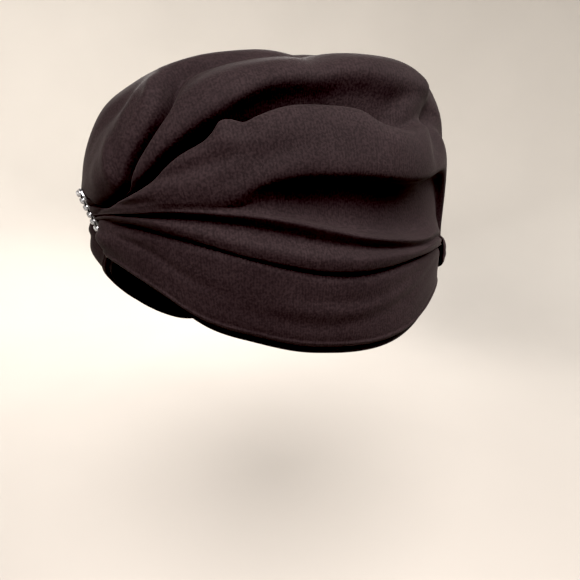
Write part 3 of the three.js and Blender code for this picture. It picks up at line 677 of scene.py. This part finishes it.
def drape_lift(heading, down):
    """Lift of a drape's outside, from under the crown's edge to the hem."""
    tuck = -(EDGE_TUCK * tuck_share(heading) + CROWN_WALL + CLOTH_GAP)
    brow = BROW_SWELL * ease(down / 0.8) * (
        np.exp(-((heading / 32) ** 2)) - np.exp(-((heading / 9) ** 2)))
    fullness = brow_fullness(heading, down)
    height = edge_height(heading) + DRAPE_LAP - hem_height(heading)
    below_edge = down * height - DRAPE_LAP
    ramp = ease((below_edge + 1.4) / np.minimum(DRAPE_RAMP, 0.75 * height))
    return tuck + (-HEM_PROUD - tuck) * ramp + brow + fullness


# Soft creases of the side drapes, as heading and share down, height in mm, width in degrees
DRAPE_STROKES = (
    ("fan_low", ((60, 0.75), (85, 0.72), (108, 0.55), (128, 0.30), (140, 0.12)), -1.0, 4.0),
    ("fan_mid", ((75, 0.45), (98, 0.42), (118, 0.28), (136, 0.1)), -0.7, 3.0),
    ("fan_ridge", ((70, 0.60), (92, 0.58), (115, 0.42), (134, 0.2)), 0.9, 4.0),
    ("hem_roll", ((18, 0.9), (40, 0.9), (80, 0.9), (110, 0.88), (140, 0.85)), 0.5, 4.0),
    ("brow_crease", ((6, 0.35), (18, 0.4), (34, 0.5), (52, 0.6)), -0.9, 3.0),
)
DEGREES_PER_DROP = 42.0
DRAPE_STEPS = 220
DRAPE_ROWS = 56


def make_drape(side, name):
    """One side drape from the clasp round to the keeper; side is 1 or -1."""
    heading = np.linspace(0.15, 179.85, DRAPE_STEPS + 1)[:, None]
    top = edge_height(heading) + DRAPE_LAP
    drawn = HEM_DRAWN_UP * ease((heading - 22) / 26) * (1 - ease((heading - 125) / 25))
    hem = hem_height(side * heading) + drawn
    t = np.linspace(0, 1, DRAPE_ROWS + 1)[None, :]
    down = 1 - (1 - t) ** 1.5
    z = top + (hem - top) * down
    lift = drape_lift(side * heading, down)
    lift = lift + stroke_relief(heading, down, DRAPE_STROKES, 1, DEGREES_PER_DROP)
    lift = lift + 0.2 * ripple(heading / 60.0, down * 6, 4.1 + side, 1.0) * ease(down * 4)
    from_hem = (1 - down) * (top - hem)
    lift = lift + HEM_BEAD * np.exp(-((from_hem - HEM_BEAD_LEVEL) ** 2))
    outer = side_point(side * heading, z, lift)
    inner = side_point(side * heading, z, lift - DRAPE_WALL)
    return body_mesh(name, outer, inner)


def make_band():
    """Knit band inside the hem, a closed ring."""
    steps = 360
    heading = (-180 + 360 * np.arange(steps) / steps)[:, None]
    hem = hem_height(heading)
    top = edge_height(heading) + DRAPE_LAP
    low = hem - BAND_SHOWS
    high = np.minimum(low + BAND_HEIGHT, hem + (top - hem) * 0.55)
    s = np.linspace(0, 1, 13)[None, :]
    z = high + (low - high) * s
    down = np.clip((top - z) / (top - hem), 0, 1)
    lift = drape_lift(heading, down) - DRAPE_WALL - BAND_GAP
    outer = side_point(heading, z, lift)
    inner = side_point(heading, z, lift - BAND_WALL)
    return body_mesh("hem_band_cloth", outer, inner, ring=True)


def make_keeper():
    """Padded loop of cloth round the gathers at the back, creased along its length."""
    inside = FOLD_RISE * 0.1 + KEEPER_CLEARANCE
    x = np.linspace(-KEEPER_HALF_LENGTH, KEEPER_HALF_LENGTH, 161)[:, None]
    heading = 180 - np.degrees(np.arcsin(x / HALF_WIDTH))
    middle = gather_level(-reach(np.ones_like(x)) * np.cos(np.radians(heading))) + KEEPER_DROP
    end = np.clip(1 - (np.abs(x) / KEEPER_HALF_LENGTH) ** 4, 0.02, 1) ** 0.5
    t = np.linspace(0, np.pi, 49)[None, :]
    up = np.cos(t)
    out = np.clip(np.sin(t), 0, 1) ** 1.1
    fold = 0.12 * np.sin(x / 19.0)
    crease = 0.8 * np.exp(-(((up - 0.15 - fold) / 0.2) ** 2))
    crease = crease + 0.5 * np.exp(-(((up + 0.45 + fold) / 0.16) ** 2))
    half = KEEPER_HEIGHT / 2 * (1 - 0.06 * np.cos(x / 17.0) ** 2) * (0.3 + 0.7 * end)
    z = middle + up * half
    lift = inside + 0.5 + KEEPER_THICKNESS * end * out - crease * end
    outer = side_point(heading, z, lift)
    inner = side_point(heading, middle + up * (half - 0.6), np.full_like(z, inside))
    return body_mesh("keeper_cloth", outer, inner)


# Clasp, in millimetres. It sits CLASP_SUNK deeper than in the solids, because it presses into
# the soft cloth.
CLASP_LENGTH = 29.5
CLASP_WIDTH = 11.5
CLASP_PLATE = 1.4
CLASP_LEAN = 21.0
CLASP_SUNK = 1.6
STONE_ROWS = 7
MAIN_STONE = 4.1
SIDE_STONE = 2.9
STONE_FACETS = 8
CUP_WALL = 0.22
CUP_HEIGHTS = {MAIN_STONE: 0.62, SIDE_STONE: 0.5}
CLAW_LEVEL = 0.72
CLAW_RADII = {MAIN_STONE: 0.42, SIDE_STONE: 0.336}
GEM_GAP = 0.35
COLUMNS = (("right", -1), ("middle", 0), ("left", 1))


def clasp_places():
    """Centre, diameter and name of each stone on the plate."""
    pitch = (CLASP_LENGTH - 1) / STONE_ROWS
    side = (CLASP_WIDTH - SIDE_STONE) / 2 - 0.3
    for row in range(STONE_ROWS):
        y = (row - (STONE_ROWS - 1) / 2) * pitch
        for name, column in COLUMNS:
            size = MAIN_STONE if column == 0 else SIDE_STONE
            yield f"{name}_{row + 1}", column * side, y, size


def cut_stone(size, turn):
    """Brilliant cut: table, eight kites with star facets, girdle and a pointed back."""
    n = STONE_FACETS
    r = size / 2
    rings = ((0.55 * r, 0.36 * size, 0.0), (0.84 * r, 0.24 * size, 0.5), (r, 0.08 * size, 0.0),
             (r, 0.04 * size, 0.0))
    vertices = []
    for radius, z, shift in rings:
        for k in range(n):
            a = turn + 2 * math.pi * (k + shift) / n
            vertices.append((radius * math.cos(a), radius * math.sin(a), z))
    vertices.append((0, 0, -0.16 * size))
    faces = [tuple(range(n))]
    for k in range(n):
        j = (k + 1) % n
        faces.append((k, n + k, j))
        faces.append((k, 2 * n + k, n + k))
        faces.append((j, n + k, 2 * n + j))
        faces.append((n + k, 2 * n + k, 2 * n + j))
        faces.append((2 * n + k, 3 * n + k, 3 * n + j, 2 * n + j))
        faces.append((3 * n + k, 4 * n, 3 * n + j))
    return vertices, faces


def add_part(bm, vertices, faces, place):
    """Adds vertices and faces, given in millimetres on the clasp, at their place."""
    made = [bm.verts.new(place @ Vector(v)) for v in vertices]
    for face in faces:
        bm.faces.new([made[i] for i in face])


def bead(radius, rings=6, sides=10):
    """Small round claw tip."""
    vertices = [(0, 0, radius)]
    for i in range(1, rings):
        a = math.pi * i / rings
        for k in range(sides):
            b = 2 * math.pi * k / sides
            wide = radius * math.sin(a)
            vertices.append((wide * math.cos(b), wide * math.sin(b), radius * math.cos(a)))
    vertices.append((0, 0, -radius))
    faces = [(0, 1 + k, 1 + (k + 1) % sides) for k in range(sides)]
    for i in range(rings - 2):
        for k in range(sides):
            a = 1 + i * sides + k
            b = 1 + i * sides + (k + 1) % sides
            faces.append((a, a + sides, b + sides, b))
    last = len(vertices) - 1
    for k in range(sides):
        faces.append((1 + (rings - 2) * sides + k, last, 1 + (rings - 2) * sides + (k + 1) % sides))
    return vertices, faces


def cup(radius, height, sides=16):
    """Open bezel ring that grips a stone."""
    rings = ((radius, 0), (radius, height), (radius - CUP_WALL, height), (radius - CUP_WALL, 0.1))
    vertices = []
    for r, z in rings:
        for k in range(sides):
            a = 2 * math.pi * k / sides
            vertices.append((r * math.cos(a), r * math.sin(a), z))
    faces = []
    for i in range(len(rings) - 1):
        for k in range(sides):
            j = (k + 1) % sides
            faces.append((i * sides + k, i * sides + j, (i + 1) * sides + j, (i + 1) * sides + k))
    return vertices, faces


def plate():
    """Rounded bar with a softened upper edge."""
    outline = []
    r = CLASP_WIDTH / 2 - 0.2
    straight = CLASP_LENGTH / 2 - r
    for k in range(13):
        a = math.pi * k / 12
        outline.append((r * math.cos(a), straight + r * math.sin(a)))
    for k in range(13):
        a = math.pi + math.pi * k / 12
        outline.append((r * math.cos(a), -straight + r * math.sin(a)))
    n = len(outline)
    vertices = []
    for z, shrink in ((0, 0.97), (0.15, 1.0), (CLASP_PLATE - 0.3, 1.0), (CLASP_PLATE, 0.96)):
        vertices += [(x * shrink, y * shrink, z) for x, y in outline]
    faces = [tuple(reversed(range(n))), tuple(range(3 * n, 4 * n))]
    for i in range(3):
        for k in range(n):
            j = (k + 1) % n
            faces.append((i * n + k, i * n + j, (i + 1) * n + j, (i + 1) * n + k))
    return vertices, faces


def clasp_frame():
    """Where the clasp lies: its foot, with x across, y up its length and z off the cloth."""
    low, high = (Vector(corner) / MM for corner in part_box("clasp_setting"))
    middle = (low + high) / 2
    lean = math.radians(CLASP_LEAN)
    facing = Vector((0, -math.cos(lean), -math.sin(lean)))
    upward = Vector((0, -math.sin(lean), math.cos(lean)))
    thick = ((high - low).y - CLASP_LENGTH * math.sin(lean)) / math.cos(lean)
    spot = middle - facing * (thick / 2 + CLASP_SUNK)
    turn = Matrix((Vector((1, 0, 0)), upward, facing)).transposed()
    return Matrix.Translation(spot * MM) @ turn.to_4x4() @ Matrix.Scale(MM, 4)


def mesh_piece(name, bm, material):
    mesh = bpy.data.meshes.new(name)
    bmesh.ops.recalc_face_normals(bm, faces=bm.faces)
    bm.to_mesh(mesh)
    bm.free()
    piece = bpy.data.objects.new(name, mesh)
    bpy.context.scene.collection.objects.link(piece)
    mesh.materials.append(material)
    return piece


def make_clasp(metal, glass):
    """The soldered bar with its cups and claws, and one gem for each stone."""
    place = clasp_frame()
    setting = bmesh.new()
    add_part(setting, *plate(), place)
    for name, x, y, size in clasp_places():
        spot = place @ Matrix.Translation((x, y, CLASP_PLATE))
        add_part(setting, *cup(size / 2 + 0.02, CUP_HEIGHTS[size]), spot)
        for k in range(4):
            a = math.pi / 4 + math.pi / 2 * k
            out = size / 2 + 0.05
            claw = spot @ Matrix.Translation((out * math.cos(a), out * math.sin(a), CLAW_LEVEL))
            add_part(setting, *bead(CLAW_RADII[size]), claw)
    piece = mesh_piece("clasp_bar", setting, metal)
    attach(piece, "root")
    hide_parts("clasp_setting")
    for name, x, y, size in clasp_places():
        stone = bmesh.new()
        spot = place @ Matrix.Translation((x, y, CLASP_PLATE + 0.3 + 0.12 * size))
        add_part(stone, *cut_stone(size - GEM_GAP, 0.3 * y + x), spot)
        gem = mesh_piece("gem_" + name, stone, glass)
        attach(gem, "root")
        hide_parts("stone_" + name)


def link(tree, a, a_out, b, b_in):
    tree.links.new(a.outputs[a_out], b.inputs[b_in])


def make_material(name):
    material = bpy.data.materials.new(name)
    material.use_nodes = True
    tree = material.node_tree
    return material, tree, tree.nodes["Principled BSDF"]


def add_node(tree, kind, settings=(), **values):
    """A shader node with its own settings and the values of its named inputs."""
    node = tree.nodes.new(kind)
    for setting, choice in settings:
        setattr(node, setting, choice)
    for socket, value in values.items():
        node.inputs[socket.replace("_", " ")].default_value = value
    return node


def object_noise(tree, place, scale, detail):
    noise = add_node(tree, "ShaderNodeTexNoise", Scale=scale, Detail=detail)
    link(tree, place, "Object", noise, "Vector")
    return noise


def colour_ramp(tree, source, socket, low, high):
    """Blends between two colours, each given with its place from 0 to 1."""
    ramp = tree.nodes.new("ShaderNodeValToRGB")
    for element, (position, colour) in zip(ramp.color_ramp.elements, (low, high)):
        element.position = position
        element.color = colour
    link(tree, source, socket, ramp, "Fac")
    return ramp


def crepe(name, dark, light, rib_depth):
    """Black double-knit crepe: pebbled grain with a faint rib, uneven dye and small wrinkles."""
    material, tree, shader = make_material(name)
    shader.inputs["Roughness"].default_value = 0.82
    shader.inputs["Specular IOR Level"].default_value = 0.055
    shader.inputs["Sheen Weight"].default_value = 0.018
    shader.inputs["Sheen Roughness"].default_value = 0.45
    shader.inputs["Sheen Tint"].default_value = (0.86, 0.74, 0.70, 1)
    place = add_node(tree, "ShaderNodeTexCoord")
    dye = object_noise(tree, place, DYE_SCALE, 3)
    base = colour_ramp(tree, dye, "Fac", (0.3, (*dark, 1)), (0.75, (*light, 1)))
    grain = object_noise(tree, place, GRAIN_SCALE, 2)
    bands = (("wave_type", "BANDS"), ("bands_direction", "X"))
    rib = add_node(tree, "ShaderNodeTexWave", bands,
                   Scale=RIB_SCALE, Distortion=2.0, Detail=2.0, Detail_Scale=3.0)
    link(tree, place, "UV", rib, "Vector")
    knit = add_node(tree, "ShaderNodeMix", (("data_type", "FLOAT"),))
    knit.inputs[0].default_value = 0.09
    link(tree, grain, "Fac", knit, 2)
    link(tree, rib, "Fac", knit, 3)
    tone = colour_ramp(tree, knit, 0, (0.4, (0.42, 0.42, 0.42, 1)), (0.6, (1, 1, 1, 1)))
    fleck = add_node(tree, "ShaderNodeMix", (("data_type", "RGBA"), ("blend_type", "MULTIPLY")))
    fleck.inputs[0].default_value = 0.8
    link(tree, base, "Color", fleck, 6)
    link(tree, tone, "Color", fleck, 7)
    link(tree, fleck, 2, shader, "Base Color")
    wrinkle = object_noise(tree, place, WRINKLE_SCALE, 4)
    soft = add_node(tree, "ShaderNodeBump", Strength=0.25, Distance=0.0008)
    link(tree, wrinkle, "Fac", soft, "Height")
    bump = add_node(tree, "ShaderNodeBump", Strength=rib_depth, Distance=0.0003)
    link(tree, knit, 0, bump, "Height")
    link(tree, soft, "Normal", bump, "Normal")
    link(tree, bump, "Normal", shader, "Normal")
    return material


def silver():
    material, tree, shader = make_material("clasp_silver")
    shader.inputs["Base Color"].default_value = (0.20, 0.20, 0.21, 1)
    shader.inputs["Metallic"].default_value = 1.0
    place = add_node(tree, "ShaderNodeTexCoord")
    wear = object_noise(tree, place, 400, 3)
    span = add_node(tree, "ShaderNodeMapRange", To_Min=0.12, To_Max=0.42)
    link(tree, wear, "Fac", span, "Value")
    link(tree, span, "Result", shader, "Roughness")
    return material


def crystal():
    material, tree, shader = make_material("clasp_crystal")
    shader.inputs["Metallic"].default_value = 0.55
    shader.inputs["Roughness"].default_value = 0.04
    shader.inputs["Specular IOR Level"].default_value = 0.8
    shader.inputs["Coat Weight"].default_value = 0.5
    shader.inputs["Coat Roughness"].default_value = 0.02
    place = add_node(tree, "ShaderNodeTexCoord")
    cell = add_node(tree, "ShaderNodeTexVoronoi", Scale=900)
    link(tree, place, "Object", cell, "Vector")
    glint = colour_ramp(tree, cell, "Color",
                        (0, (0.04, 0.045, 0.05, 1)), (1, (0.42, 0.43, 0.45, 1)))
    link(tree, glint, "Color", shader, "Base Color")
    return material


def camera_axes():
    a = math.radians(CAMERA_AZIMUTH)
    toward = Vector((math.sin(a), -math.cos(a), 0))
    aside = Vector((math.cos(a), math.sin(a), 0))
    return toward, aside


def backdrop():
    """Warm white paper with painted light: darker near the object and lighter at the far wall,
    painted shade on one side and a soft painted shadow.
    """
    material, tree, shader = make_material("studio_paper")
    shader.inputs["Roughness"].default_value = 0.9
    shader.inputs["Specular IOR Level"].default_value = 0.1
    toward, aside = camera_axes()
    # Middle of a soft painted shadow on the paper
    shaded_spot = aside * 0.62 - toward * 1.3 - Vector((0, 0, 0.5))
    smooth = (("interpolation_type", "SMOOTHSTEP"),)
    place = add_node(tree, "ShaderNodeTexCoord")
    # Painted light: the paper's colour brightens away from the middle, standing in for light on the
    # far wall
    distance = add_node(tree, "ShaderNodeVectorMath", (("operation", "LENGTH"),))
    link(tree, place, "Object", distance, 0)
    span = add_node(tree, "ShaderNodeMapRange", smooth, From_Min=0.5, From_Max=2.1)
    link(tree, distance, "Value", span, "Value")
    tone = colour_ramp(tree, span, "Result", (0, PAPER_NEAR), (1, PAPER_FAR))
    cloud = object_noise(tree, place, 3.0, 2)
    uneven = add_node(tree, "ShaderNodeMapRange", To_Min=0.94, To_Max=1.04)
    link(tree, cloud, "Fac", uneven, "Value")
    # Painted shade: the paper's colour darkens steadily towards one side
    sideways = add_node(tree, "ShaderNodeVectorMath", (("operation", "DOT_PRODUCT"),))
    sideways.inputs[1].default_value = aside
    link(tree, place, "Object", sideways, 0)
    painted_side_shade = add_node(tree, "ShaderNodeMapRange",
                      From_Min=-0.9, From_Max=1.1, To_Min=1.12, To_Max=0.80)
    link(tree, sideways, "Value", painted_side_shade, "Value")
    # Painted shadow: the paper's colour darkens near shaded_spot
    cast = add_node(tree, "ShaderNodeVectorMath", (("operation", "DISTANCE"),))
    cast.inputs[1].default_value = shaded_spot
    link(tree, place, "Object", cast, 0)
    soft = add_node(tree, "ShaderNodeMapRange", smooth, From_Max=0.75, To_Min=0.72, To_Max=1.0)
    link(tree, cast, "Value", soft, "Value")
    shadow = add_node(tree, "ShaderNodeMath", (("operation", "MULTIPLY"),))
    link(tree, painted_side_shade, "Result", shadow, 0)
    link(tree, soft, "Result", shadow, 1)
    amount = add_node(tree, "ShaderNodeMath", (("operation", "MULTIPLY"),))
    link(tree, uneven, "Result", amount, 0)
    link(tree, shadow, "Value", amount, 1)
    shade = add_node(tree, "ShaderNodeVectorMath", (("operation", "SCALE"),))
    link(tree, tone, "Color", shade, 0)
    link(tree, amount, "Value", shade, "Scale")
    link(tree, shade, "Vector", shader, "Base Color")
    return material


def make_camera():
    toward, aside = camera_axes()
    spot = toward * CAMERA_DISTANCE + aside * CAMERA_ASIDE
    spot.z = CAMERA_UP + CLASP_LEVEL
    pitch = math.radians(CAMERA_PITCH)
    back = toward * math.cos(pitch) + Vector((0, 0, math.sin(pitch)))
    up = -toward * math.sin(pitch) + Vector((0, 0, math.cos(pitch)))
    data = bpy.data.cameras.new("photo_camera")
    data.sensor_width = SENSOR
    data.lens = FOCAL_PIXELS / FRAME_PIXELS * SENSOR
    data.clip_start = 0.01
    camera = bpy.data.objects.new("photo_camera", data)
    turn = Matrix((aside, up, back)).transposed().to_4x4()
    camera.matrix_world = Matrix.Translation(spot * MM) @ turn
    bpy.context.scene.collection.objects.link(camera)
    bpy.context.scene.camera = camera
    return spot.z


def make_stage(floor_z, material):
    """Seamless round sweep: flat floor that curves up into a wall all round."""
    profile = [(SWEEP_FLAT, 0.0)]
    for k in range(1, 13):
        t = math.pi / 2 * k / 12
        profile.append((SWEEP_FLAT + SWEEP_BEND * math.sin(t), SWEEP_BEND * (1 - math.cos(t))))
    profile.append((SWEEP_FLAT + SWEEP_BEND, SWEEP_HEIGHT))
    sides = 96
    vertices = []
    for r, z in profile:
        for k in range(sides):
            t = 2 * math.pi * k / sides
            vertices.append((r * math.cos(t), r * math.sin(t), floor_z + z))
    vertices.append((0, 0, floor_z))
    faces = [(k, (k + 1) % sides, len(vertices) - 1) for k in range(sides)]
    for ring in range(len(profile) - 1):
        for k in range(sides):
            a = ring * sides + k
            b = ring * sides + (k + 1) % sides
            faces.append((a, a + sides, b + sides, b))
    mesh = bpy.data.meshes.new("studio_sweep")
    mesh.from_pydata(vertices, [], faces)
    mesh.shade_smooth()
    mesh.materials.append(material)
    sweep = bpy.data.objects.new("studio_sweep", mesh)
    bpy.context.scene.collection.objects.link(sweep)


def make_light(name, azimuth, elevation, distance, size, power, color):
    a = math.radians(azimuth)
    e = math.radians(elevation)
    away = Vector((math.sin(a) * math.cos(e), -math.cos(a) * math.cos(e), math.sin(e)))
    data = bpy.data.lights.new(name, "AREA")
    data.shape = "DISK"
    data.size = size
    data.energy = power
    data.color = color
    light = bpy.data.objects.new(name, data)
    turn = away.to_track_quat("Z", "Y").to_matrix().to_4x4()
    light.matrix_world = Matrix.Translation(LIGHT_AIM + distance * away) @ turn
    bpy.context.scene.collection.objects.link(light)


def make_world():
    world = bpy.data.worlds.new("soft_studio")
    world.use_nodes = True
    ground = world.node_tree.nodes["Background"]
    ground.inputs["Color"].default_value = (1.0, 0.95, 0.88, 1)
    ground.inputs["Strength"].default_value = WORLD_STRENGTH
    bpy.context.scene.world = world


def set_tone():
    """Contrast of a phone picture: deep blacks and bright paper."""
    settings = bpy.context.scene.view_settings
    settings.view_transform = "Standard"
    settings.use_curve_mapping = True
    settings.curve_mapping.black_level = BLACK_LEVEL
    settings.curve_mapping.white_level = WHITE_LEVEL
    settings.curve_mapping.update()


def dress(piece, material, node):
    piece.data.materials.clear()
    piece.data.materials.append(material)
    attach(piece, "root")
    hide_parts(node)


set_tone()
camera_z = make_camera()
make_stage((camera_z - FLOOR_BELOW_CAMERA) * MM, backdrop())
make_world()
for values in LIGHTS:
    make_light(*values)

cloth = crepe("black_crepe", CREPE_DARK, CREPE_LIGHT, 0.6)
band_cloth = crepe("band_knit", BAND_DARK, BAND_LIGHT, 0.5)

crown = make_crown()
dress(crown, cloth, "crown_drape")
drape_left = make_drape(1, "drape_cloth_left")
dress(drape_left, cloth, "side_drape_left")
drape_right = make_drape(-1, "drape_cloth_right")
dress(drape_right, cloth, "side_drape_right")
band = make_band()
dress(band, band_cloth, "hem_band")
keeper = make_keeper()
dress(keeper, cloth, "back_keeper")

metal = silver()
make_clasp(metal, crystal())
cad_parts["clasp_pin"].data.materials.clear()
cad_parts["clasp_pin"].data.materials.append(metal)
